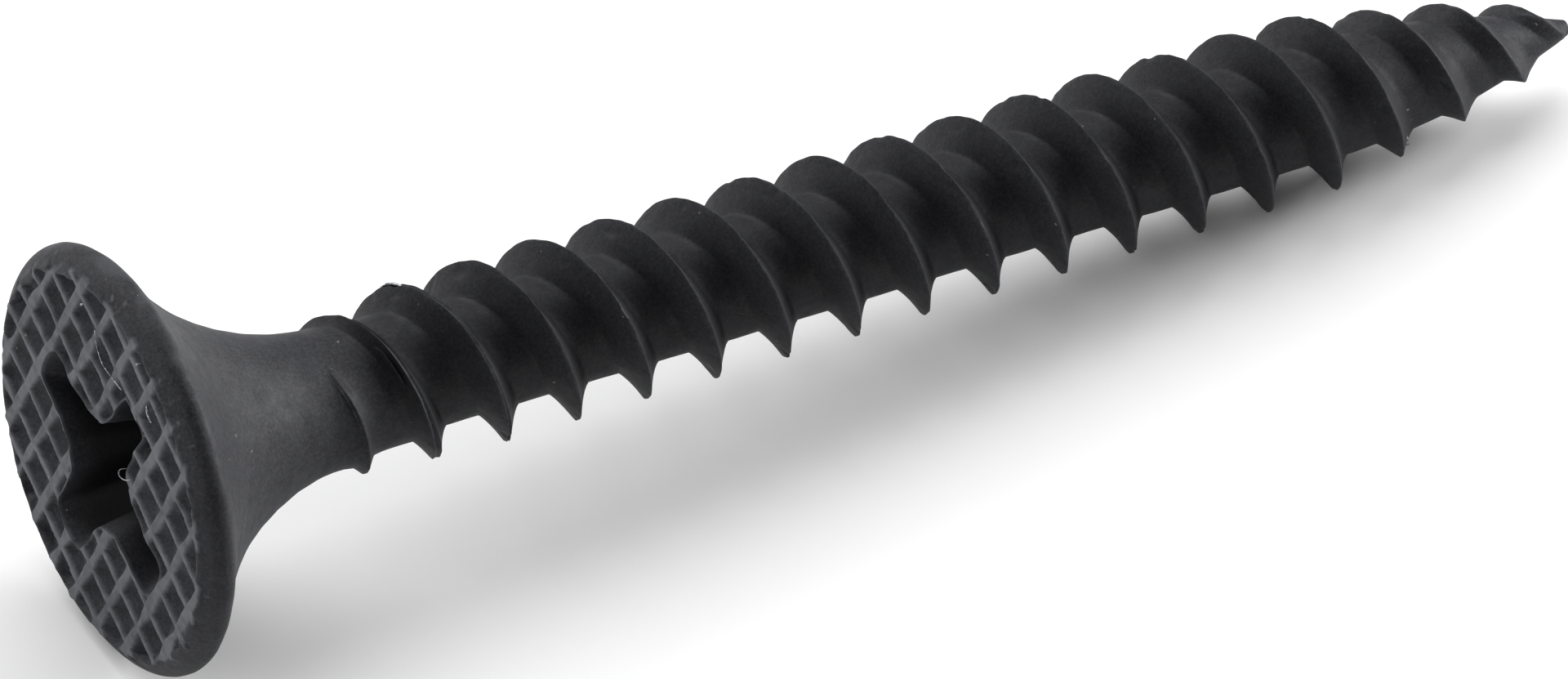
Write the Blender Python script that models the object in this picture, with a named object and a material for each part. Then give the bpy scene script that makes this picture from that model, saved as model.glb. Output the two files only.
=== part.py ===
"""Drywall wood screw with a bugle head, a cross recess and a twin-start thread, lying at rest.

Lengths are in millimetres in the screw's own frame and are converted to metres when the mesh is
made. In that frame x runs along the axis from the head's face to the point, and an angle turns
about x by the right-hand rule. The finished screw lies on z = 0 with its head towards -X.
"""

import math

import bmesh
import bpy
import numpy as np
from mathutils import Matrix

MM = 0.001

LENGTH = 31.9
HEAD_RADIUS = 4.21
FACE_RADIUS = 3.86
LIP_DEPTH = 0.42
BUGLE_RADIUS = 5.1
NECK_RADIUS = 1.33
NECK_END = 5.2

CREST_RADIUS = 1.753
ROOT_RADIUS = 1.135
CREST_SPACING = 1.507
STARTS = 2
CREST_PHASE = 6.675
CREST_LAND = 0.08
THREAD_BASE = 0.80
THREAD_FROM = 4.3
THREAD_FULL = 7.6
TAPER_FROM = 26.0
POINT_RADIUS = 0.12

RECESS_DEPTH = 2.35
RECESS_APEX = 2.85
WING_REACH = 2.5
WING_REACH_END = 1.2
WING_HALF = 0.56
WING_HALF_END = 0.38
LOBE_REACH = 1.2
LOBE_REACH_END = 0.64
RECESS_TURN = math.radians(19.4)

RIDGE_TURNS = (math.radians(20.0), math.radians(108.0))
RIDGE_PITCHES = (0.86, 0.81)
RIDGE_OFFSETS = (-0.125, -0.095)
RIDGE_LAND = 0.24
POCKET_DEPTH = 0.16

ROLL = math.radians(45.6)
COLUMNS = 36
HEAD_SEGMENTS = 2 * COLUMNS


def clear_scene():
    for item in list(bpy.data.objects):
        bpy.data.objects.remove(item)


def smooth(x, low, high):
    """0 below low, 1 above high, and a smooth ramp between them."""
    t = min(max((x - low) / (high - low), 0.0), 1.0)
    return t * t * (3.0 - 2.0 * t)


def bugle(x):
    """The arc that flares from the neck to the head's rim."""
    d = max(NECK_END - x, 0.0)
    return NECK_RADIUS + BUGLE_RADIUS - math.sqrt(BUGLE_RADIUS**2 - d * d)


def along_taper(x):
    """0 where the shank stops being parallel and 1 at the point."""
    return min(max(x - TAPER_FROM, 0.0) / (LENGTH - TAPER_FROM), 1.0)


def core_radius(x):
    """The root of the thread, which starts on the bugle and the neck."""
    worn = smooth(x, THREAD_FROM + 0.4, THREAD_FULL)
    parallel = bugle(x) + (ROOT_RADIUS - NECK_RADIUS) * worn
    return POINT_RADIUS + (parallel - POINT_RADIUS) * (1.0 - along_taper(x) ** 2.2)


def thread_height(x):
    """How far the crest stands out of the core."""
    parallel = CREST_RADIUS - ROOT_RADIUS
    start = smooth(x, THREAD_FROM, THREAD_FULL) ** 0.7
    if x < TAPER_FROM:
        return parallel * start
    crest = CREST_RADIUS * math.sqrt(1.0 - along_taper(x))
    return max(crest - core_radius(x), 0.0)


def screw_point(x, radius, angle):
    return (x, radius * math.sin(angle - ROLL) * -1.0, radius * math.cos(angle - ROLL))


def column_angle(index, count):
    """Columns straddle the lowest line of the screw, so it rests on an edge."""
    return ROLL + 2.0 * math.pi * (index + 0.5) / count


def head_profile():
    """(x, radius) from the face's edge, round the lip and along the bugle."""
    lip = [(0.0, FACE_RADIUS)]
    for turn in (30, 60, 90):
        a = math.radians(turn)
        rise = (HEAD_RADIUS - FACE_RADIUS) * math.sin(a)
        lip.append((LIP_DEPTH * (1.0 - math.cos(a)), FACE_RADIUS + rise))
    lip.append((LIP_DEPTH + 0.2, HEAD_RADIUS - 0.07))
    stations = (0.82, 1.1, 1.5, 2.0, 2.6, 3.3)
    return lip + [(x, bugle(x)) for x in stations]


def profile_rows():
    """Offsets, in crest spacings, of the thread's four edges, and whether each is on the crest."""
    land = 0.5 * CREST_LAND / CREST_SPACING
    base = 0.5 * THREAD_BASE / CREST_SPACING
    return ((-base, 0.0), (-land, 1.0), (land, 1.0), (base, 0.0))


def thread_rows():
    first = math.floor((THREAD_FROM - CREST_PHASE) / CREST_SPACING) - 2 * STARTS
    last = math.ceil((LENGTH - CREST_PHASE) / CREST_SPACING) + 1
    rows = []
    for crest in range(first, last + 1):
        for offset, share in profile_rows():
            rows.append((CREST_PHASE + (crest + offset) * CREST_SPACING, share))
    return rows


def add_ring(mesh, x, radius, count):
    ring = []
    for index in range(count):
        angle = column_angle(index, HEAD_SEGMENTS)
        ring.append(mesh.verts.new(screw_point(x, radius, angle)))
    return ring


def join_rings(mesh, first, second):
    count = len(first)
    for i in range(count):
        j = (i + 1) % count
        mesh.faces.new((first[i], first[j], second[j], second[i]))


def add_head(mesh):
    """Lathe the head and return its last ring, next to the thread."""
    rings = [add_ring(mesh, x, r, HEAD_SEGMENTS) for x, r in head_profile()]
    for first, second in zip(rings, rings[1:]):
        join_rings(mesh, first, second)
    mesh.faces.new(list(reversed(rings[0])))
    return rings[-1]


def thread_column(mesh, column, rows):
    """One line of vertices along the shank at a fixed angle, sheared to follow the helix."""
    angle = column_angle(2 * column, HEAD_SEGMENTS)
    advance = STARTS * CREST_SPACING * angle / (2.0 * math.pi)
    verts = []
    for base, share in rows:
        x = min(max(base + advance, THREAD_FROM), LENGTH)
        radius = core_radius(x) + share * thread_height(x)
        verts.append(mesh.verts.new(screw_point(x, radius, angle)))
    return verts


def add_thread(mesh):
    rows = thread_rows()
    columns = [thread_column(mesh, c, rows) for c in range(COLUMNS + 1)]
    for left, right in zip(columns, columns[1:]):
        for k in range(len(rows) - 1):
            mesh.faces.new((left[k], right[k], right[k + 1], left[k + 1]))
    return columns


def join_head_to_thread(mesh, ring):
    """A strip from the head's fine ring to the thread's first ring, which has half as many."""
    radius = core_radius(THREAD_FROM)
    for column in range(COLUMNS):
        left = column_angle(2 * column, HEAD_SEGMENTS)
        right = column_angle(2 * column + 2, HEAD_SEGMENTS)
        a = mesh.verts.new(screw_point(THREAD_FROM, radius, left))
        b = mesh.verts.new(screw_point(THREAD_FROM, radius, right))
        i = 2 * column
        j = (i + 1) % HEAD_SEGMENTS
        k = (i + 2) % HEAD_SEGMENTS
        mesh.faces.new((ring[i], ring[j], a))
        mesh.faces.new((ring[j], b, a))
        mesh.faces.new((ring[j], ring[k], b))


def close_point(mesh):
    """Fill the small flat left at the point."""
    edges = [e for e in mesh.edges if e.is_boundary]
    bmesh.ops.holes_fill(mesh, edges=edges, sides=0)


def to_object(mesh, name):
    bmesh.ops.scale(mesh, vec=(MM, MM, MM), verts=mesh.verts)
    data = bpy.data.meshes.new(name)
    mesh.to_mesh(data)
    mesh.free()
    item = bpy.data.objects.new(name, data)
    bpy.context.scene.collection.objects.link(item)
    return item


def build_blank():
    mesh = bmesh.new()
    ring = add_head(mesh)
    add_thread(mesh)
    join_head_to_thread(mesh, ring)
    bmesh.ops.remove_doubles(mesh, verts=mesh.verts, dist=0.002)
    bmesh.ops.dissolve_degenerate(mesh, edges=mesh.edges, dist=0.002)
    close_point(mesh)
    bmesh.ops.recalc_face_normals(mesh, faces=mesh.faces)
    return to_object(mesh, "screw")


def face_point(x, across, up):
    """A point given by face coordinates: up at angle zero and across at a quarter turn."""
    return screw_point(x, math.hypot(across, up), math.atan2(across, up))


def recess_outline(reach, half, lobe):
    """Cross-shaped outline as (across, up) points, one wing after another."""
    corner = lobe / math.sqrt(2.0)
    quarter = (
        (reach, -0.62 * half),
        (reach, 0.62 * half),
        (reach - 0.3 * half, half),
        (corner + 0.42 * half, half),
        (corner, corner),
        (half, corner + 0.42 * half),
        (half, reach - 0.3 * half),
    )
    points = []
    for wing in range(4):
        turn = RECESS_TURN + wing * math.pi / 2.0
        c, s = math.cos(turn), math.sin(turn)
        for across, up in quarter:
            points.append((c * across - s * up, s * across + c * up))
    return points


def recess_section(x):
    t = x / RECESS_DEPTH
    reach = WING_REACH + (WING_REACH_END - WING_REACH) * t
    half = WING_HALF + (WING_HALF_END - WING_HALF) * t
    lobe = LOBE_REACH + (LOBE_REACH_END - LOBE_REACH) * t
    return recess_outline(reach, half, lobe)


def build_recess_cutter():
    mesh = bmesh.new()
    rings = []
    for x in (-0.4, RECESS_DEPTH):
        rings.append([mesh.verts.new(face_point(x, *p)) for p in recess_section(x)])
    join_rings(mesh, *rings)
    mesh.faces.new(rings[0])
    apex = mesh.verts.new((RECESS_APEX, 0.0, 0.0))
    bottom = rings[1]
    for i, vert in enumerate(bottom):
        mesh.faces.new((vert, bottom[(i + 1) % len(bottom)], apex))
    bmesh.ops.recalc_face_normals(mesh, faces=mesh.faces)
    return to_object(mesh, "recess_cutter")


def ridge_crossing(i, j):
    """Where ridge i of the first family crosses ridge j of the second, as (across, up)."""
    rows = []
    values = []
    for k, (turn, pitch, offset) in enumerate(zip(RIDGE_TURNS, RIDGE_PITCHES, RIDGE_OFFSETS)):
        normal = turn + math.pi / 2.0
        rows.append((math.cos(normal), math.sin(normal)))
        values.append(offset + (i, j)[k] * pitch)
    return np.linalg.solve(np.array(rows), np.array(values))


def pocket_corners(i, j):
    inset = [0.5 * RIDGE_LAND / pitch for pitch in RIDGE_PITCHES]
    corners = []
    for a, b in ((0, 0), (1, 0), (1, 1), (0, 1)):
        u = i + (inset[0] if a == 0 else 1.0 - inset[0])
        v = j + (inset[1] if b == 0 else 1.0 - inset[1])
        corners.append(ridge_crossing(u, v))
    return corners


def near_recess(point):
    """True within a thin wall of the recess's mouth."""
    outline = recess_outline(WING_REACH + 0.08, WING_HALF + 0.08, LOBE_REACH + 0.1)
    inside = False
    for (x1, y1), (x2, y2) in zip(outline, outline[1:] + outline[:1]):
        if (y1 > point[1]) != (y2 > point[1]):
            if point[0] < x1 + (point[1] - y1) * (x2 - x1) / (y2 - y1):
                inside = not inside
    return inside


def pocket_fits(corners):
    samples = list(corners) + [0.5 * (p + q) for p, q in zip(corners, corners[1:] + corners[:1])]
    samples.append(sum(corners) / 4.0)
    if max(math.hypot(*p) for p in samples) > FACE_RADIUS - 0.05:
        return False
    return not any(near_recess(p) for p in samples)


def build_waffle_cutter():
    """Inverted pyramids that sink a pocket between each pair of crossing ridges."""
    mesh = bmesh.new()
    for i in range(-6, 7):
        for j in range(-6, 7):
            corners = pocket_corners(i, j)
            if not pocket_fits(corners):
                continue
            centre = sum(corners) / 4.0
            grow = 1.5
            top = [centre + grow * (p - centre) for p in corners]
            lift = -POCKET_DEPTH * (grow - 1.0)
            ring = [mesh.verts.new(face_point(lift, *p)) for p in top]
            apex = mesh.verts.new(face_point(POCKET_DEPTH, *centre))
            mesh.faces.new(ring)
            for k in range(4):
                mesh.faces.new((ring[k], ring[(k + 1) % 4], apex))
    bmesh.ops.recalc_face_normals(mesh, faces=mesh.faces)
    return to_object(mesh, "waffle_cutter")


def cut(item, cutter):
    modifier = item.modifiers.new(cutter.name, "BOOLEAN")
    modifier.operation = "DIFFERENCE"
    modifier.solver = "EXACT"
    modifier.object = cutter
    cutter.hide_render = True
    cutter.display_type = "WIRE"


def apply_modifiers(item):
    graph = bpy.context.evaluated_depsgraph_get()
    data = bpy.data.meshes.new_from_object(item.evaluated_get(graph))
    item.modifiers.clear()
    item.data = data


def resting_tilt(points):
    """The angle about Y at which the rim and the last full crest touch one plane."""
    head = points[points[:, 0] < 2.0 * MM]
    shank = points[points[:, 0] > 20.0 * MM]
    low, high = 0.0, math.radians(15.0)
    for _ in range(50):
        angle = 0.5 * (low + high)
        s, c = math.sin(angle), math.cos(angle)
        drop = (c * head[:, 2] - s * head[:, 0]).min() - (c * shank[:, 2] - s * shank[:, 0]).min()
        if drop < 0.0:
            low = angle
        else:
            high = angle
    return 0.5 * (low + high)


def lay_down(item):
    """Tilt the screw onto its two resting points and centre it over the origin."""
    points = np.array([v.co for v in item.data.vertices])
    item.data.transform(Matrix.Rotation(resting_tilt(points), 4, "Y"))
    points = np.array([v.co for v in item.data.vertices])
    low, high = points.min(axis=0), points.max(axis=0)
    middle = 0.5 * (low + high)
    item.data.transform(Matrix.Translation((-middle[0], -middle[1], -low[2])))


def black_phosphate():
    material = bpy.data.materials.new("black_phosphate")
    material.use_nodes = True
    shader = material.node_tree.nodes["Principled BSDF"]
    shader.inputs["Base Color"].default_value = (0.035, 0.037, 0.041, 1.0)
    shader.inputs["Metallic"].default_value = 0.6
    shader.inputs["Roughness"].default_value = 0.45
    return material


def main():
    clear_scene()
    screw = build_blank()
    cutters = [build_waffle_cutter(), build_recess_cutter()]
    for cutter in cutters:
        cut(screw, cutter)
    bpy.context.view_layer.update()
    apply_modifiers(screw)
    for cutter in cutters:
        bpy.data.objects.remove(cutter)
    lay_down(screw)
    screw.data.materials.clear()
    screw.data.materials.append(black_phosphate())
    screw.data.set_sharp_from_angle(angle=math.radians(20.0))


main()
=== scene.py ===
"""Looks of the wood screw: fine geometry, black phosphate finish, floor, light and camera.

Lengths are in millimetres in the screw's own frame until place() turns them into metres in the
row frame. In the screw's frame x runs along the axis from the head's face to the point, and an
angle turns about x by the right-hand rule.
"""

import math

import bpy
import numpy as np
from mathutils import Matrix, Vector
from mathutils.geometry import delaunay_2d_cdt

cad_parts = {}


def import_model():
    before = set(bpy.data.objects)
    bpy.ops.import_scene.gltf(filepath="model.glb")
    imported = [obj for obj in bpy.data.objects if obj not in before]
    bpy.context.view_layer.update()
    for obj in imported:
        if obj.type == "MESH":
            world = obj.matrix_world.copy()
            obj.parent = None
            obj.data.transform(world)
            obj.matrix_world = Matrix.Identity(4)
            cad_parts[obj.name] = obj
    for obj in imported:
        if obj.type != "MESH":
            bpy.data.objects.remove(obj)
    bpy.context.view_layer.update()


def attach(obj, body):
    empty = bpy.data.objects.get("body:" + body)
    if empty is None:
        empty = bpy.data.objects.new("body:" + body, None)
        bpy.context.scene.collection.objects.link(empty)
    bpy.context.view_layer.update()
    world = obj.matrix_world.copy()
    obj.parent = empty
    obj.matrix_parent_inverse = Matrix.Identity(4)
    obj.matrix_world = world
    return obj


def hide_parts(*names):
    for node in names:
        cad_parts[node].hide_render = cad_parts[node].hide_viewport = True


MM = 0.001

LENGTH = 31.9
HEAD_RADIUS = 4.21
FLAT_RADIUS = 3.55
PATTERN_RADIUS = 3.84
DISC_RADIUS = 4.14
LIP_DEPTH = 0.42
LIP_BACK = ((0.5, 4.205), (0.57, 4.175), (0.63, 4.12))
# Painted shade: how far the lower part of the lip is darkened.
LIP_SHADE = 0.38
BUGLE_FROM = 0.72
BUGLE_RADIUS = 5.1
NECK_RADIUS = 1.33
NECK_END = 5.2
HEAD_LEAN = 0.013

CREST_RADIUS = 1.753
ROOT_RADIUS = 1.135
CREST_SPACING = 1.507
CREST_PHASE = 6.675
THREAD_BASE = 0.43
THREAD_FROM = 4.3
ROOT_CUT = (4.3, 6.4)
CREST_RISE = (4.2, 8.2)
FULL_FROM = 7.6
TAPER_FROM = 26.0
TAPER_POWER = 2.2
POINT_RADIUS = 0.16
POINT_RINGS = ((0.0, 1.0), (0.025, 0.9), (0.045, 0.6), (0.055, 0.0))

# Thread details. Each pair is for the flank towards the head and the flank towards the point.
CREST_HALF = 0.013
UNFILLED_HALF = 0.028
FOLDED_HALF = 0.03
LAP_DEPTH = 0.05
FLANK_BENDS = (1.18, 1.3)
FLANK_STARTS = (0.3, 0.5)
FOLD_HEIGHT = 0.11
FOLD_SHARE = 0.5
FOLD_SPREAD = 0.08
SWELL_HEIGHT = 0.09
SWELL_SPREAD = 0.35
EVEN_LATENESS = 0.25
CREST_WEAR = 0.25
# Painted shade: how far the rolled thread and the flank on the point side of each crest are darkened.
THREAD_SHADE = 0.4

RECESS_DEPTH = 2.35
RECESS_APEX = 2.85
WING_REACH = (2.5, 1.2)
WING_HALVES = (0.44, 0.56, 0.56, 0.6)
WING_TAPER = 0.68
LOBE_REACH = (1.2, 0.64)
RECESS_TURN = math.radians(19.4)
RECESS_CENTRE = (-0.1, -0.13)

RIDGE_TURNS = (math.radians(20.0), math.radians(108.0))
RIDGE_PITCHES = (0.86, 0.81)
RIDGE_OFFSETS = (-0.125, -0.095)
RIDGE_HALF_WIDTHS = (0.085, 0.055)
RIDGE_STEP = 0.05
POCKET_SLOPE = 0.62
LIP_BULGE = 0.045

ROLL = math.radians(45.6)
TILT = math.radians(5.5585)
SHIFT = (-15.694, 0.0, 4.2269)
COLUMNS = 300
FACE_GRID = 0.034
NOISE_WAVES = 28

# Camera: the axis's turn from the line of sight and its rise in the picture, in degrees, then places
# in millimetres.
VIEW_TURN = 65.5
VIEW_RISE = 16.72
VIEW_DISTANCE = 453.7
VIEW_CENTRE = (12.631, 2.311)
FACE_OFFSET = 0.22
VIEW_WIDTH = 29.2567
SENSOR_WIDTH = 36.0

# Lights: name, azimuth, elevation, distance in metres, size in metres, power in watts.
LIGHTS = (
    ("key", -8.0, 15.0, 0.7, 0.5, 8.8),
    ("top", 80.0, 52.0, 0.9, 0.9, 7.5),
    ("fill", -178.0, 22.0, 0.7, 0.4, 1.7),
    ("back", 118.0, 28.0, 0.8, 0.35, 2.5),
)
WORLD_STRENGTH = 0.1
FLOOR_HALF = 3.0
FLOOR_GREY = 0.9

# Linear colours of the finish and of the bare slivers.
COAT_DARK = (0.0085, 0.0088, 0.011)
COAT_LIGHT = (0.0155, 0.016, 0.0195)
COAT_GRAIN = (0.046, 0.047, 0.053)
RUBBED = (0.095, 0.099, 0.108)
# Painted shade, mixed in where the vertex attribute is below zero.
PAINTED_SHADE = (0.004, 0.004, 0.005)
DUST = (0.16, 0.15, 0.12)
BURR_DULL = (0.10, 0.10, 0.11)
BURR_BARE = (0.55, 0.56, 0.58)


# ---------------------------------------------------------------- shapes


def smooth(x, low, high):
    t = np.clip((x - low) / (high - low), 0.0, 1.0)
    return t * t * (3.0 - 2.0 * t)


def noise(points, scale, seed):
    """Smooth noise, mostly between -1 and 1, with features about scale across."""
    rng = np.random.default_rng(seed)
    direction = rng.normal(size=(3, NOISE_WAVES))
    direction /= np.linalg.norm(direction, axis=0)
    direction *= 2.0 * math.pi / scale * rng.uniform(0.35, 1.0, NOISE_WAVES)
    phase = rng.uniform(0.0, 2.0 * math.pi, NOISE_WAVES)
    return np.sin(points @ direction + phase).sum(axis=-1) / math.sqrt(NOISE_WAVES)


def cartesian(x, radius, angle):
    x, radius, angle = np.broadcast_arrays(x, radius, angle)
    turn = angle - ROLL
    return np.stack([x, -radius * np.sin(turn), radius * np.cos(turn)], axis=-1)


def lean_head(points):
    """The head sits a little askew on the shank."""
    up = points[..., 1] * math.sin(ROLL) + points[..., 2] * math.cos(ROLL)
    share = 1.0 - smooth(points[..., 0], 1.0, 4.2)
    points[..., 0] += HEAD_LEAN * (HEAD_RADIUS - up) * share
    return points


def tilt_matrix():
    """The screw frame's axes as columns in the row frame."""
    c, s = math.cos(TILT), math.sin(TILT)
    return np.array([[c, 0.0, s], [0.0, 1.0, 0.0], [-s, 0.0, c]])


def place(points):
    """Screw frame in millimetres to row frame in metres."""
    return (points @ tilt_matrix().T + np.array(SHIFT)) * MM


def bell(x, centre, spread):
    """1 at the centre, falling away as a bell."""
    return np.exp(-(((x - centre) / spread) ** 2))


def between(x, rise, fall):
    """Rises over the first pair of places and falls over the second."""
    return smooth(x, *rise) * (1.0 - smooth(x, *fall))


def bugle(x):
    """Radius of the flare behind the head, and of the neck past its end."""
    d = np.maximum(NECK_END - x, 0.0)
    return NECK_RADIUS + BUGLE_RADIUS - np.sqrt(BUGLE_RADIUS**2 - d * d)


def column_angles():
    return ROLL + 2.0 * math.pi * (np.arange(COLUMNS + 1) + 0.5) / COLUMNS


def grid_faces(rows, columns):
    """Triangles of a grid of rows by columns vertices, stored row after row."""
    i, j = np.meshgrid(np.arange(rows - 1), np.arange(columns - 1), indexing="ij")
    a = (i * columns + j).ravel()
    b, c, d = a + 1, a + columns + 1, a + columns
    return np.concatenate([np.stack([a, b, c], 1), np.stack([a, c, d], 1)])


# ---------------------------------------------------------------- thread


def along_taper(x):
    return np.clip((x - TAPER_FROM) / (LENGTH - TAPER_FROM), 0.0, 1.0)


def root_radius(x, crest_x):
    """The rolled root. It cuts into the neck more and more after the first crests."""
    cut = smooth(crest_x, *ROOT_CUT)
    parallel = bugle(x) + (ROOT_RADIUS - NECK_RADIUS) * cut
    return POINT_RADIUS + (parallel - POINT_RADIUS) * (1.0 - along_taper(x) ** TAPER_POWER)


def crest_radius(x, crest_x):
    """The crest rises out of the neck and follows the taper to the point."""
    rise = np.sqrt(smooth(crest_x, *CREST_RISE))
    parallel = NECK_RADIUS + (CREST_RADIUS - NECK_RADIUS) * rise
    return np.maximum(parallel * np.sqrt(1.0 - along_taper(x)), 0.0)


def fullness(crest_x):
    """How far the thread has risen to its full form where its crest is at crest_x."""
    return smooth(crest_x, THREAD_FROM, FULL_FROM)


def crest_land(crest_x):
    """Half the width of the crest, wider where it didn't fill and where it folded over."""
    unfilled = between(crest_x, (5.2, 5.8), (7.0, 9.0))
    return CREST_HALF + UNFILLED_HALF * unfilled + FOLDED_HALF * bell(crest_x, 6.5, 0.35)


def lap_depth(x, crest_x, height, angles):
    """The lap left along the middle of a crest that didn't fill."""
    points = cartesian(x, CREST_RADIUS, angles)
    torn = np.clip(0.6 + 0.8 * noise(points, 2.2, 12), 0.0, 1.2)
    early = between(crest_x, (4.9, 5.6), (6.5, 10.5))
    return LAP_DEPTH * early * torn * smooth(height, 0.05, 0.25)


def flank_base(crest_x, start):
    """How far a flank reaches along the axis; at the thread's beginning it is a share of that."""
    return THREAD_BASE * (start + (1.0 - start) * fullness(crest_x))


def thread_rows(before, after):
    """One spacing from crest to crest: (x, share of the height, share of the lap, crest x)."""
    leading_start, trailing_start = FLANK_STARTS
    rows = []
    land = crest_land(before)
    base = flank_base(before, trailing_start)
    for f in (0.0, 0.5, 1.0):
        rows.append((before + f * land, 1.0, 1.0 - f, before))
    for f in (0.1, 0.22, 0.36, 0.52, 0.7, 0.86, 1.0):
        rows.append((before + land + f * (base - land), 1.0 - f, 0.0, before))
    foot = before + base
    land = crest_land(after)
    base = flank_base(after, leading_start)
    for f in (0.2, 0.4, 0.6, 0.8):
        rows.append((foot + f * (after - base - foot), 0.0, 0.0, before))
    for f in np.linspace(1.0, 0.0, 13)[:-1]:
        rows.append((after - land - f * (base - land), 1.0 - f, 0.0, after))
    for f in (1.0, 0.5):
        rows.append((after - f * land, 1.0, 1.0 - f, after))
    return rows


def folded_flank(crest_x, share, odd):
    """The first turn of one start has a second, lower fin folded against its head side."""
    if not odd:
        return np.zeros_like(crest_x)
    return between(crest_x, (5.68, 5.8), (5.92, 6.12)) * FOLD_HEIGHT * bell(share, FOLD_SHARE, FOLD_SPREAD)


def start_swell(x, crest_x, even):
    """The metal pushed up round the shallow beginning of the even start."""
    if not even:
        return np.zeros_like(crest_x)
    window = between(crest_x, (4.55, 4.95), (5.2, 5.9))
    window = window * smooth(x, THREAD_FROM, THREAD_FROM + 0.35)
    return SWELL_HEIGHT * window * bell(x - crest_x, -0.08, SWELL_SPREAD)


def flank_wear_and_shade(crest_x, share, leading, odd):
    """Painted shade on the flank on the point side of each crest and on the head-side flank round the
    folded fin, whose edge is rubbed.
    """
    if share in (0.0, 1.0):
        return np.zeros_like(crest_x)
    if not leading:
        # Painted shade on the flank on the point side of the crest.
        return np.full_like(crest_x, -THREAD_SHADE)
    if not odd:
        return np.zeros_like(crest_x)
    # Painted shade on the head-side flank of the first odd turn, round the fold.
    dark = 0.45 * between(crest_x, (5.1, 5.5), (6.0, 6.5))
    edge = 1.1 * between(crest_x, (5.68, 5.78), (5.95, 6.12))
    return edge * bell(share, FOLD_SHARE, FOLD_SPREAD) - dark


def crest_line(index, angles):
    """Where crest number index lies. The even start begins a little late and catches up."""
    x = CREST_PHASE + (index + angles / math.pi) * CREST_SPACING
    late = EVEN_LATENESS if index % 2 == 0 else 0.0
    return x + late * (1.0 - smooth(x, 4.4, 5.4))


def thread_spacing(index, angles):
    """Rows of one crest spacing as arrays (x, radius, rubbed marks and painted shade), each rows by
    columns.
    """
    before = crest_line(index, angles)
    after = crest_line(index + 1, angles)
    leading_bend, trailing_bend = FLANK_BENDS
    next_is_odd = index % 2 == 0
    xs, radii, wear_and_shade_rows = [], [], []
    for x, share, lap, crest_x in thread_rows(before, after):
        leading = crest_x is after
        low, high = x < THREAD_FROM, x > LENGTH
        x = np.clip(x, THREAD_FROM, LENGTH)
        root = root_radius(x, before)
        height = np.maximum(crest_radius(x, crest_x) - root, 0.0)
        bend = leading_bend if leading else trailing_bend
        radius = root + height * share**bend - lap * lap_depth(x, crest_x, height, angles)
        if leading and share < 1.0:
            radius = radius + folded_flank(crest_x, share, next_is_odd)
        radius = radius + start_swell(x, before, next_is_odd) + start_swell(x, after, not next_is_odd)
        edge = between(x, (THREAD_FROM, THREAD_FROM + 0.3), (LENGTH - 0.2, LENGTH))
        radius = radius + edge * roughening(x, radius, angles, share)
        radius[low] = bugle(THREAD_FROM)
        radius[high] = POINT_RADIUS
        xs.append(x)
        radii.append(radius)
        wear_and_shade = crest_wear_and_shade(x, share, lap, height, angles)
        wear_and_shade_rows.append(wear_and_shade + flank_wear_and_shade(crest_x, share, leading, next_is_odd) * (height > 0.03))
    return np.array(xs), np.array(radii), np.array(wear_and_shade_rows)


def roughening(x, radius, angles, share):
    """Rolling marks on the root and small chips along the crest."""
    points = cartesian(x, radius, angles)
    fine = 0.004 * noise(points, 0.5, 3) + 0.006 * noise(points, 2.0, 4)
    if share < 0.6:
        return fine
    chips = np.maximum(noise(points, 0.4, 5) - 1.0, 0.0)
    wave = 0.009 * noise(points, 0.7, 6) + 0.006 * noise(points, 0.25, 7)
    return fine + share * (wave - 0.05 * chips)


def crest_wear_and_shade(x, share, lap, height, angles):
    """Rubbed crests, and below zero for painted shade over the rolled thread, standing in for the crests'
    shadow.
    """
    points = cartesian(x, CREST_RADIUS, angles)
    patchy = np.clip(0.55 + 0.45 * noise(points, 0.8, 13), 0.0, 1.0)
    worn = max(share - 0.84, 0.0) / 0.16 * (1.0 - 0.8 * lap)
    # Painted shade over the thread, from its start to near the point.
    painted_thread_shade = THREAD_SHADE * between(x, (4.8, 6.2), (28.5, 31.0)) * (1.0 - worn)
    return CREST_WEAR * worn * patchy * smooth(height, 0.02, 0.2) - painted_thread_shade


def thread_part():
    angles = column_angles()
    first = math.floor((THREAD_FROM - CREST_PHASE) / CREST_SPACING - angles[-1] / math.pi) - 1
    last = math.ceil((LENGTH - CREST_PHASE) / CREST_SPACING - angles[0] / math.pi) + 1
    blocks = [thread_spacing(m, angles) for m in range(first, last)]
    x, radius, wear_and_shade = (np.concatenate(parts) for parts in zip(*blocks))
    points = cartesian(x, radius, angles[None, :]).reshape(-1, 3)
    return points, grid_faces(*x.shape), wear_and_shade.ravel()


def point_cap():
    """The blunt end of the point."""
    angles = column_angles()
    along, share = np.array(POINT_RINGS).T[:, :, None]
    points = cartesian(LENGTH + along, share * POINT_RADIUS, angles[None, :]).reshape(-1, 3)
    return points, grid_faces(len(POINT_RINGS), len(angles)), np.full(len(points), 0.8)


# ---------------------------------------------------------------- head


def lip_x(radius):
    """How far the lathed front lies behind the face's plane."""
    t = np.clip((radius - FLAT_RADIUS) / (HEAD_RADIUS - FLAT_RADIUS), 0.0, 1.0)
    return LIP_DEPTH * (1.0 - np.sqrt(1.0 - t * t))


def lip_shade(up):
    """Painted shade over the lower part of the lip."""
    return LIP_SHADE * (1.0 - smooth(up, -1.6, 0.4))


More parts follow.
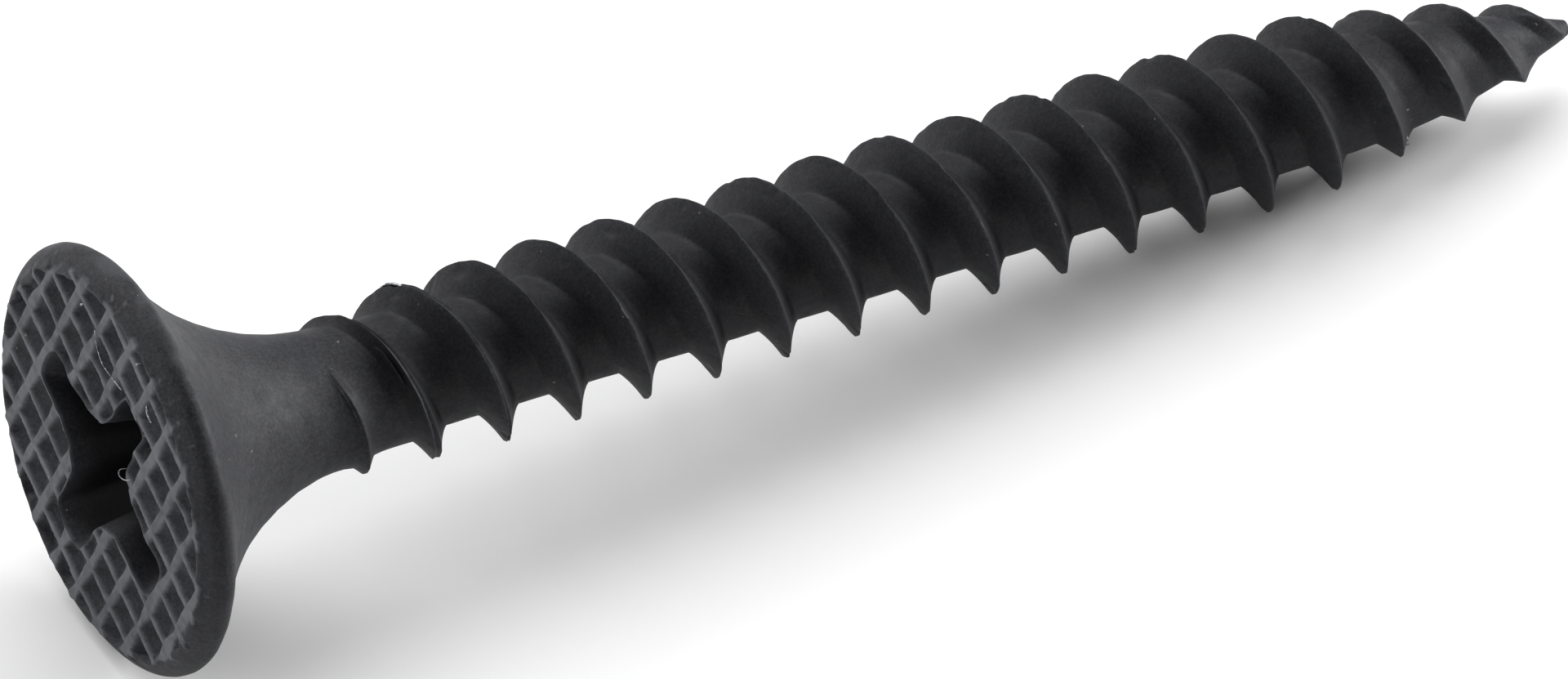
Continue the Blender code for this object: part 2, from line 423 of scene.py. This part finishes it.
def head_part():
    """The lip behind the disc and the bugle, as far as the thread."""
    width = HEAD_RADIUS - FLAT_RADIUS
    turns = np.linspace(math.asin((DISC_RADIUS - FLAT_RADIUS) / width), math.pi / 2, 8)
    lip_radii = [FLAT_RADIUS + width * math.sin(turn) for turn in turns]
    stations = [(lip_x(r), r) for r in lip_radii] + list(LIP_BACK)
    stations += [(x, float(bugle(x))) for x in np.linspace(BUGLE_FROM, THREAD_FROM, 70)]
    x, radius = np.array(stations).T[:, :, None]
    angles = column_angles()[None, :]
    x, radius, angles = np.broadcast_arrays(x, radius, angles)
    fade = between(x, (0.3, 0.6), (THREAD_FROM - 0.3, THREAD_FROM))
    points = cartesian(x, radius, angles)
    bumps = 0.006 * noise(points, 1.1, 8) + 0.004 * noise(points, 0.4, 9)
    points = cartesian(x, radius + fade * bumps, angles)
    wear_and_shade = 0.25 * smooth(radius, 4.1, 4.2) * np.clip(noise(points, 0.5, 10), 0.0, 1.0)
    # Painted shade on the lower part of the lip.
    wear_and_shade = wear_and_shade - lip_shade(radius * np.cos(angles)) * (1.0 - smooth(x, 0.4, 0.65))
    return points.reshape(-1, 3), grid_faces(*x.shape), wear_and_shade.ravel()


def face_to_screw(x, flat):
    """Face coordinates (across, up) and depth to the screw frame."""
    across, up = flat[..., 0], flat[..., 1]
    return cartesian(x, np.hypot(across, up), np.arctan2(across, up))


def flat_noise(flat, scale, seed):
    return noise(np.concatenate([flat, np.zeros((len(flat), 1))], axis=1), scale, seed)


def beside_ridges(flat):
    """How far each point lies from the flanks of the nearest ridge, or 0 on its top."""
    found = []
    for k in range(2):
        normal = RIDGE_TURNS[k] + math.pi / 2.0
        along = flat @ np.array([math.cos(normal), math.sin(normal)]) - RIDGE_OFFSETS[k]
        along = along + 0.022 * flat_noise(flat, 1.6, 20 + k)
        off = along / RIDGE_PITCHES[k]
        distance = np.abs(off - np.round(off)) * RIDGE_PITCHES[k]
        width = RIDGE_HALF_WIDTHS[k] * (1.0 + 0.3 * flat_noise(flat, 0.7, 30 + k))
        found.append(np.maximum(distance - width, 0.0))
    return np.minimum(found[0], found[1])


def outline_distance(flat, outline):
    """Distance from each point to a closed outline."""
    nearest = np.full(len(flat), 9.0)
    for start, end in zip(outline, np.roll(outline, -1, axis=0)):
        along = end - start
        t = np.clip((flat - start) @ along / (along @ along), 0.0, 1.0)
        nearest = np.minimum(nearest, np.linalg.norm(flat - start - t[:, None] * along, axis=1))
    return nearest


def face_depth(flat, radius, beside, rim, jag):
    """Depth behind the face's plane: raised ridges round pyramid-shaped pockets, inside a bulging lip."""
    lip = lip_x(radius)
    pocket = smooth(beside, 0.0, 0.06)
    depth = RIDGE_STEP + POCKET_SLOPE * beside * (1.0 + 0.2 * flat_noise(flat, 1.3, 40))
    depth = depth * (0.2 + 0.8 * smooth(rim, 0.02, 0.13))
    depth = depth * (1.0 - smooth(radius + jag, 3.66, 3.8))
    bulge = LIP_BULGE * bell(radius, 3.83, 0.1)
    ridge = lip * smooth(radius + jag, PATTERN_RADIUS, PATTERN_RADIUS + 0.07)
    depth = (1.0 - pocket) * ridge + pocket * (np.maximum(depth, lip) - bulge)
    rough = 0.005 * flat_noise(flat, 0.22, 44) + 0.004 * flat_noise(flat, 0.6, 45)
    return depth + rough * (1.0 - smooth(radius, 3.95, 4.1))


def face_wear_and_shade(flat, radius, beside, rim, jag):
    """Rubbed ridges and recess edge inside the pattern, flecks and painted shade on the lip."""
    inner = 1.0 - smooth(radius + jag, PATTERN_RADIUS, PATTERN_RADIUS + 0.07)
    rubbed = np.minimum(bell(beside, 0.0, 0.035) + 0.4 * bell(rim, 0.0, 0.035), 1.0) * inner
    speckle = 0.75 + 0.16 * flat_noise(flat, 0.16, 42) + 0.12 * flat_noise(flat, 1.1, 46)
    fleck = np.clip(flat_noise(flat, 0.13, 47) + 0.5 * flat_noise(flat, 1.5, 48) - 1.3, 0.0, 0.5)
    # Flecks on the lip, and painted shade on its lower part.
    on_lip = (fleck - lip_shade(flat[:, 1])) * smooth(radius, 3.82, 3.95)
    return rubbed * np.clip(speckle, 0.3, 1.0) + on_lip


def face_surface(flat):
    """(depth, rubbed marks and painted shade) of the stamped face."""
    radius = np.hypot(flat[:, 0], flat[:, 1])
    beside = beside_ridges(flat)
    rim = outline_distance(flat, recess_outline(0.0))
    jag = 0.05 * flat_noise(flat, 0.35, 43)
    return face_depth(flat, radius, beside, rim, jag), face_wear_and_shade(flat, radius, beside, rim, jag)


def recess_outline(t):
    """Rounded cross at a share t of the depth, as (across, up) points."""
    reach, lobe = (a + (b - a) * t for a, b in (WING_REACH, LOBE_REACH))
    corner = lobe / math.sqrt(2.0)
    halves = [half * (1.0 + (WING_TAPER - 1.0) * t) for half in WING_HALVES]
    points = []
    for wing, half in enumerate(halves):
        following = halves[(wing + 1) % 4]
        quarter = [
            (reach, -0.62 * half),
            (reach, 0.62 * half),
            (reach - 0.3 * half, half),
            (corner + 0.5 * half, half),
            (corner, corner),
            (following, corner + 0.5 * following),
            (following, reach - 0.3 * following),
        ]
        turn = RECESS_TURN + wing * math.pi / 2.0
        c, s = math.cos(turn), math.sin(turn)
        points += [(c * a - s * u, s * a + c * u) for a, u in quarter]
    points = np.array(points)
    for _ in range(3):
        following = np.roll(points, -1, axis=0)
        points = np.stack([0.75 * points + 0.25 * following, 0.25 * points + 0.75 * following], 1)
        points = points.reshape(-1, 2)
    return points + np.array(RECESS_CENTRE)


def inside_outline(points, outline):
    inside = np.zeros(len(points), bool)
    for (x1, y1), (x2, y2) in zip(outline, np.roll(outline, -1, axis=0)):
        if y1 == y2:
            continue
        spans = (y1 > points[:, 1]) != (y2 > points[:, 1])
        inside ^= spans & (points[:, 0] < x1 + (points[:, 1] - y1) * (x2 - x1) / (y2 - y1))
    return inside


def ring_edges(start, count):
    return [(start + i, start + (i + 1) % count) for i in range(count)]


def face_part():
    """The stamped disc, from the recess's edge out to the lip."""
    outline = recess_outline(0.0)
    angles = column_angles()[:-1]
    rim = DISC_RADIUS * np.stack([np.sin(angles), np.cos(angles)], axis=1)
    rng = np.random.default_rng(11)
    line = np.arange(-DISC_RADIUS, DISC_RADIUS, FACE_GRID)
    inner = np.stack(np.meshgrid(line, line), -1).reshape(-1, 2)
    inner = inner + rng.uniform(-0.25, 0.25, inner.shape) * FACE_GRID
    inner = inner[np.hypot(*inner.T) < DISC_RADIUS - 0.6 * FACE_GRID]
    inner = inner[~inside_outline(inner, outline)]
    flat = np.concatenate([outline, rim, inner])
    edges = ring_edges(0, len(outline)) + ring_edges(len(outline), len(rim))
    made = delaunay_2d_cdt([Vector(p) for p in flat], edges, [], 0, 1e-6)
    flat = np.array([tuple(v) for v in made[0]])
    faces = np.array([f for f in made[2] if len(f) == 3])
    middle = flat[faces].mean(axis=1)
    faces = faces[~inside_outline(middle, outline)]
    x, wear_and_shade = face_surface(flat)
    return face_to_screw(x, flat), faces[:, ::-1], wear_and_shade


def recess_part():
    """The recess's walls and its cone-shaped bottom."""
    mouth = recess_outline(0.0)
    start, mouth_wear = face_surface(mouth)
    shares = np.linspace(0.0, 1.0, 30)
    centre = np.array(RECESS_CENTRE)
    rows, depths = [], []
    for t in shares:
        rows.append(recess_outline(t))
        depths.append(start + (RECESS_DEPTH - start) * t)
    for t in (0.8, 0.55, 0.3, 0.1, 0.0):
        rows.append(centre + (rows[len(shares) - 1] - centre) * t)
        depths.append(np.full(len(mouth), RECESS_APEX - (RECESS_APEX - RECESS_DEPTH) * t))
    flat = np.array(rows)
    flat = np.concatenate([flat, flat[:, :1]], axis=1)
    depth = np.array(depths)
    depth = np.concatenate([depth, depth[:, :1]], axis=1)
    points = face_to_screw(depth, flat)
    # Painted shade: the walls darken over the first rows down into the recess.
    wear_and_shade = np.repeat(-smooth(np.arange(len(rows)), 0.0, 8.0)[:, None], depth.shape[1], axis=1)
    wear_and_shade[0, :-1] = mouth_wear
    wear_and_shade[0, -1] = mouth_wear[0]
    return points.reshape(-1, 3), grid_faces(*depth.shape), wear_and_shade.ravel()


# ---------------------------------------------------------------- mesh


def weld(parts):
    """Join parts whose borders coincide into one set of points, triangles and rubbed marks with painted
    shade.
    """
    points, faces, wear_and_shade, start = [], [], [], 0
    for p, f, w in parts:
        points.append(p)
        faces.append(f + start)
        wear_and_shade.append(w)
        start += len(p)
    points, faces, wear_and_shade = (np.concatenate(a) for a in (points, faces, wear_and_shade))
    keys = np.round(points * 2000.0).astype(np.int64)
    _, first, index = np.unique(keys, axis=0, return_index=True, return_inverse=True)
    faces = index.reshape(-1)[faces]
    whole = (faces[:, 0] != faces[:, 1]) & (faces[:, 1] != faces[:, 2]) & (faces[:, 2] != faces[:, 0])
    return points[first], faces[whole], wear_and_shade[first]


def build_screw():
    parts = [thread_part(), point_cap(), head_part(), face_part(), recess_part()]
    points, faces, wear_and_shade = weld(parts)
    points = place(lean_head(points))
    mesh = bpy.data.meshes.new("screw_body")
    mesh.from_pydata(points.tolist(), [], faces.tolist())
    attribute = mesh.attributes.new("wear_and_shade", "FLOAT", "POINT")
    attribute.data.foreach_set("value", wear_and_shade.astype(np.float32))
    mesh.update()
    mesh.shade_smooth()
    mesh.set_sharp_from_angle(angle=math.radians(50.0))
    item = bpy.data.objects.new("screw_body", mesh)
    bpy.context.scene.collection.objects.link(item)
    return item


# ---------------------------------------------------------------- burrs


def face_path(points):
    """Points given as (across, up, height above the face) in the screw frame."""
    points = np.array(points)
    return face_to_screw(-points[:, 2], points[:, :2])


def thread_path(points):
    """Points given as (x, radius, degrees) in the screw frame."""
    points = np.array(points)
    return cartesian(points[:, 0], points[:, 1], np.radians(points[:, 2]))


def smooth_path(path):
    """Cuts the path's corners twice and keeps its ends."""
    for _ in range(2):
        middle = np.stack([0.75 * path[:-1] + 0.25 * path[1:], 0.25 * path[:-1] + 0.75 * path[1:]], 1)
        path = np.concatenate([path[:1], middle.reshape(-1, 3), path[-1:]])
    return path


def sliver(path, thickness, seed):
    """A closed, tapering and slightly uneven thread of metal along a path."""
    path = smooth_path(path)
    rng = np.random.default_rng(seed)
    along = np.gradient(path, axis=0)
    along /= np.linalg.norm(along, axis=1)[:, None]
    side = np.cross(along, [0.3, 0.5, 0.8])
    side /= np.linalg.norm(side, axis=1)[:, None]
    other = np.cross(along, side)
    taper = np.sin(np.linspace(0.25, math.pi - 0.25, len(path))) ** 0.6
    radius = thickness * taper * rng.uniform(0.75, 1.2, len(path))
    turns = np.linspace(0.0, 2.0 * math.pi, 9)[:-1]
    rings = path[:, None] + radius[:, None, None] * (
        np.cos(turns)[None, :, None] * side[:, None] + 0.6 * np.sin(turns)[None, :, None] * other[:, None]
    )
    count = len(path) * 8
    faces = []
    for i in range(len(path) - 1):
        for j in range(8):
            k = (j + 1) % 8
            faces.append((i * 8 + j, i * 8 + k, i * 8 + 8 + k, i * 8 + 8 + j))
    faces.append(tuple(reversed(range(8))))
    faces.append(tuple(range(count - 8, count)))
    return rings.reshape(-1, 3), faces


def burr_list():
    """(path, thickness) of each loose sliver, fleck and torn crest."""
    hair = [(1.8, 2.44, 0.03), (1.72, 2.1, 0.06), (1.76, 1.75, 0.06), (2.0, 1.46, 0.05), (2.14, 1.22, 0.02)]
    curl = [(1.17, -0.2, -0.02), (1.06, -0.17, 0.08), (0.97, -0.27, 0.1), (1.04, -0.4, 0.05)]
    curl += [(1.16, -0.42, -0.03)]
    fleck = [(3.02, 0.8, 0.0), (3.06, 0.62, 0.06), (2.98, 0.48, 0.0)]
    chip = [(3.12, 1.55, 0.0), (3.24, 1.6, 0.04), (3.36, 1.58, 0.0)]
    grain = [(1.48, 2.94, 0.0), (1.54, 2.98, 0.03), (1.6, 2.95, 0.0)]
    torn = [(6.62, 1.64, -9.0), (6.67, 1.7, -4.0), (6.72, 1.715, 3.0), (6.78, 1.7, 9.0), (6.82, 1.65, 15.0)]
    lump = [(27.7, 1.0, 150.0), (27.75, 1.28, 158.0), (27.8, 1.33, 168.0), (27.8, 1.05, 176.0)]
    return [
        (face_path(hair), 0.026),
        (face_path(curl), 0.018),
        (face_path(fleck), 0.034),
        (face_path(chip), 0.022),
        (face_path(grain), 0.022),
        (thread_path(torn), 0.05),
        (thread_path(lump), 0.07),
    ]


def build_burrs():
    points, faces, start = [], [], 0
    for seed, (path, thickness) in enumerate(burr_list()):
        p, f = sliver(path, thickness, seed)
        points.append(p)
        faces += [tuple(i + start for i in face) for face in f]
        start += len(p)
    points = place(lean_head(np.concatenate(points)))
    mesh = bpy.data.meshes.new("screw_burrs")
    mesh.from_pydata(points.tolist(), [], faces)
    mesh.update()
    mesh.shade_smooth()
    item = bpy.data.objects.new("screw_burrs", mesh)
    bpy.context.scene.collection.objects.link(item)
    return item


# ---------------------------------------------------------------- material


def greys(*stops):
    """Ramp stops of plain grey, from (position, value) pairs."""
    return [(at, (value, value, value)) for at, value in stops]


def phosphate_material():
    """Dry black phosphate: mottled dark grey, lighter where edges have rubbed, and darkened by painted
    shade where the vertex attribute is below zero.
    """
    material = bpy.data.materials.new("black_phosphate")
    material.use_nodes = True
    nodes, links = material.node_tree.nodes, material.node_tree.links
    shader = nodes["Principled BSDF"]
    shader.inputs["Metallic"].default_value = 0.0
    shader.inputs["IOR"].default_value = 1.5
    shader.inputs["Specular IOR Level"].default_value = 0.22
    where = nodes.new("ShaderNodeTexCoord").outputs["Object"]

    def texture(scale, detail, roughness=0.6):
        node = nodes.new("ShaderNodeTexNoise")
        node.inputs["Scale"].default_value = scale
        node.inputs["Detail"].default_value = detail
        node.inputs["Roughness"].default_value = roughness
        links.new(where, node.inputs["Vector"])
        return node.outputs["Fac"]

    def ramp(source, stops):
        node = nodes.new("ShaderNodeValToRGB")
        while len(node.color_ramp.elements) < len(stops):
            node.color_ramp.elements.new(0.5)
        for element, (at, value) in zip(node.color_ramp.elements, stops):
            element.position = at
            element.color = (*value, 1.0)
        links.new(source, node.inputs["Fac"])
        return node.outputs["Color"]

    def mix(factor, first, second):
        node = nodes.new("ShaderNodeMix")
        node.data_type = "RGBA"
        links.new(factor, node.inputs["Factor"])
        links.new(first, node.inputs["A"])
        if isinstance(second, tuple):
            node.inputs["B"].default_value = (*second, 1.0)
        else:
            links.new(second, node.inputs["B"])
        return node.outputs["Result"]

    broad = ramp(texture(1500.0, 4.0), [(0.35, COAT_DARK), (0.7, COAT_LIGHT)])
    grain = texture(15000.0, 4.0, 0.7)
    colour = mix(ramp(grain, greys((0.4, 0.0), (0.75, 0.7))), broad, COAT_GRAIN)
    attribute = nodes.new("ShaderNodeAttribute")
    attribute.attribute_name = "wear_and_shade"
    colour = mix(ramp(attribute.outputs["Fac"], greys((0.0, 0.0), (1.0, 1.0))), colour, RUBBED)
    # Painted shade: the attribute below zero mixes the colour towards the shade colour.
    flipped = nodes.new("ShaderNodeMath")
    flipped.operation = "MULTIPLY"
    flipped.inputs[1].default_value = -1.0
    links.new(attribute.outputs["Fac"], flipped.inputs[0])
    colour = mix(ramp(flipped.outputs["Value"], greys((0.0, 0.0), (1.0, 0.85))), colour, PAINTED_SHADE)
    colour = mix(ramp(texture(8000.0, 0.0), greys((0.87, 0.0), (0.89, 0.8))), colour, DUST)
    links.new(colour, shader.inputs["Base Color"])
    rough = ramp(texture(4000.0, 3.0), greys((0.3, 0.56), (0.7, 0.68)))
    links.new(rough, shader.inputs["Roughness"])
    bump = nodes.new("ShaderNodeBump")
    bump.inputs["Strength"].default_value = 0.6
    bump.inputs["Distance"].default_value = 0.00001
    links.new(grain, bump.inputs["Height"])
    links.new(bump.outputs["Normal"], shader.inputs["Normal"])
    return material


def burr_material():
    """Bare metal that tore through the finish, dulled in places."""
    material = bpy.data.materials.new("bare_burr")
    material.use_nodes = True
    nodes, links = material.node_tree.nodes, material.node_tree.links
    shader = nodes["Principled BSDF"]
    shader.inputs["Metallic"].default_value = 0.5
    shader.inputs["Roughness"].default_value = 0.4
    noise_node = nodes.new("ShaderNodeTexNoise")
    noise_node.inputs["Scale"].default_value = 9000.0
    links.new(nodes.new("ShaderNodeTexCoord").outputs["Object"], noise_node.inputs["Vector"])
    ramp = nodes.new("ShaderNodeValToRGB")
    for element, at, colour in zip(ramp.color_ramp.elements, (0.4, 0.62), (BURR_DULL, BURR_BARE)):
        element.position = at
        element.color = (*colour, 1.0)
    links.new(noise_node.outputs["Fac"], ramp.inputs["Fac"])
    links.new(ramp.outputs["Color"], shader.inputs["Base Color"])
    return material


def floor_material():
    material = bpy.data.materials.new("studio_floor")
    material.use_nodes = True
    shader = material.node_tree.nodes["Principled BSDF"]
    shader.inputs["Base Color"].default_value = (FLOOR_GREY, FLOOR_GREY, FLOOR_GREY, 1.0)
    shader.inputs["Roughness"].default_value = 0.9
    return material


# ---------------------------------------------------------------- studio


def camera_axes():
    """The camera's right, up and back directions in the row frame."""
    t, a = math.radians(VIEW_TURN), math.radians(VIEW_RISE)
    axis = np.array([math.sin(t) * math.cos(a), math.sin(t) * math.sin(a), -math.cos(t)])
    up = np.array([-math.sin(a), math.cos(a), 0.0])
    near = np.array([math.cos(t) * math.cos(a), math.cos(t) * math.sin(a), math.sin(t)])
    # Columns: the camera coordinates of the screw frame's three axes.
    side = math.sin(ROLL) * up - math.cos(ROLL) * near
    top = math.cos(ROLL) * up + math.sin(ROLL) * near
    return np.stack([axis, side, top], axis=1)


def add_camera():
    axes = camera_axes()
    centre = np.array([*VIEW_CENTRE, VIEW_DISTANCE])
    position = axes.T @ centre + np.array([FACE_OFFSET, 0.0, 0.0])
    world_axes = tilt_matrix() @ axes.T
    data = bpy.data.cameras.new("camera")
    data.sensor_width = SENSOR_WIDTH
    data.lens = VIEW_DISTANCE / VIEW_WIDTH * SENSOR_WIDTH
    data.clip_start = 0.01
    data.clip_end = 20.0
    camera = bpy.data.objects.new("camera", data)
    bpy.context.scene.collection.objects.link(camera)
    matrix = Matrix(world_axes.tolist()).to_4x4()
    matrix.translation = Vector(place(position[None, :])[0])
    camera.matrix_world = matrix
    bpy.context.scene.camera = camera


def add_area(name, azimuth, elevation, distance, size, power):
    """A soft disc light aimed at the screw; azimuth 0 is off the point's end, 90 is at +Y."""
    a, e = math.radians(azimuth), math.radians(elevation)
    direction = Vector((math.cos(a) * math.cos(e), math.sin(a) * math.cos(e), math.sin(e)))
    data = bpy.data.lights.new(name, "AREA")
    data.shape = "DISK"
    data.size = size
    data.energy = power
    light = bpy.data.objects.new(name, data)
    bpy.context.scene.collection.objects.link(light)
    light.location = direction * distance
    light.rotation_euler = direction.to_track_quat("Z", "Y").to_euler()


def add_studio():
    world = bpy.data.worlds.new("studio")
    world.use_nodes = True
    background = world.node_tree.nodes["Background"]
    background.inputs["Color"].default_value = (1.0, 1.0, 1.0, 1.0)
    background.inputs["Strength"].default_value = WORLD_STRENGTH
    bpy.context.scene.world = world
    for light in LIGHTS:
        add_area(*light)
    mesh = bpy.data.meshes.new("floor")
    signs = [(-1, -1), (1, -1), (1, 1), (-1, 1)]
    corners = [(x * FLOOR_HALF, y * FLOOR_HALF, 0) for x, y in signs]
    mesh.from_pydata(corners, [], [(0, 1, 2, 3)])
    floor = bpy.data.objects.new("floor", mesh)
    floor.data.materials.append(floor_material())
    bpy.context.scene.collection.objects.link(floor)
    bpy.context.scene.view_settings.view_transform = "Standard"


def main():
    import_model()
    screw = build_screw()
    screw.data.materials.append(phosphate_material())
    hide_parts("screw")
    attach(screw, "root")
    burrs = build_burrs()
    burrs.data.materials.append(burr_material())
    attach(burrs, "root")
    add_camera()
    add_studio()


main()
